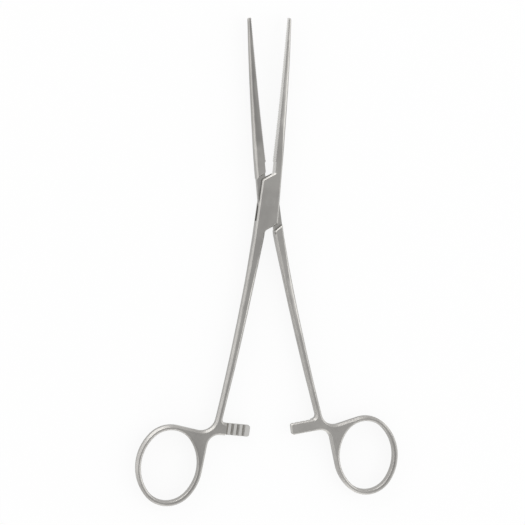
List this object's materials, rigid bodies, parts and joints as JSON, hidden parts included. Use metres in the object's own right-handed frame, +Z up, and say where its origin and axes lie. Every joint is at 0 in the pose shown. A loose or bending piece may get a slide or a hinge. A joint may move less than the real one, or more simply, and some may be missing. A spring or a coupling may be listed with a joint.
{
  "type": "hemostat forceps",
  "caption": "Straight ring-handled hemostat forceps with box lock, transverse serrated jaws and ratchet bars, shown part open.",
  "frame": {"origin": "pivot axis of the box lock, on the underside of the lock on which the instrument lies", "axes": "+Y from the pivot towards the jaw tips, +Z up along the pivot axis, +X to the right seen from above"},
  "size_m": [0.1098, 0.195, 0.005],
  "materials": {
    "satin_steel": "satin ground stainless steel",
    "pin_steel": "satin, ground flush with the lock"
  },
  "bodies": {
    "female": {"female_half": "satin_steel", "pivot_pin": "pin_steel"},
    "male": {"male_half": "satin_steel"}
  },
  "joints": [
    {"name": "box_lock_pivot", "type": "hinge", "parent": "female", "child": "male", "pos_m": [0, 0, 0.0025], "axis": [0, 0, 1], "range_deg": [-11.9, 38]}
  ]
}
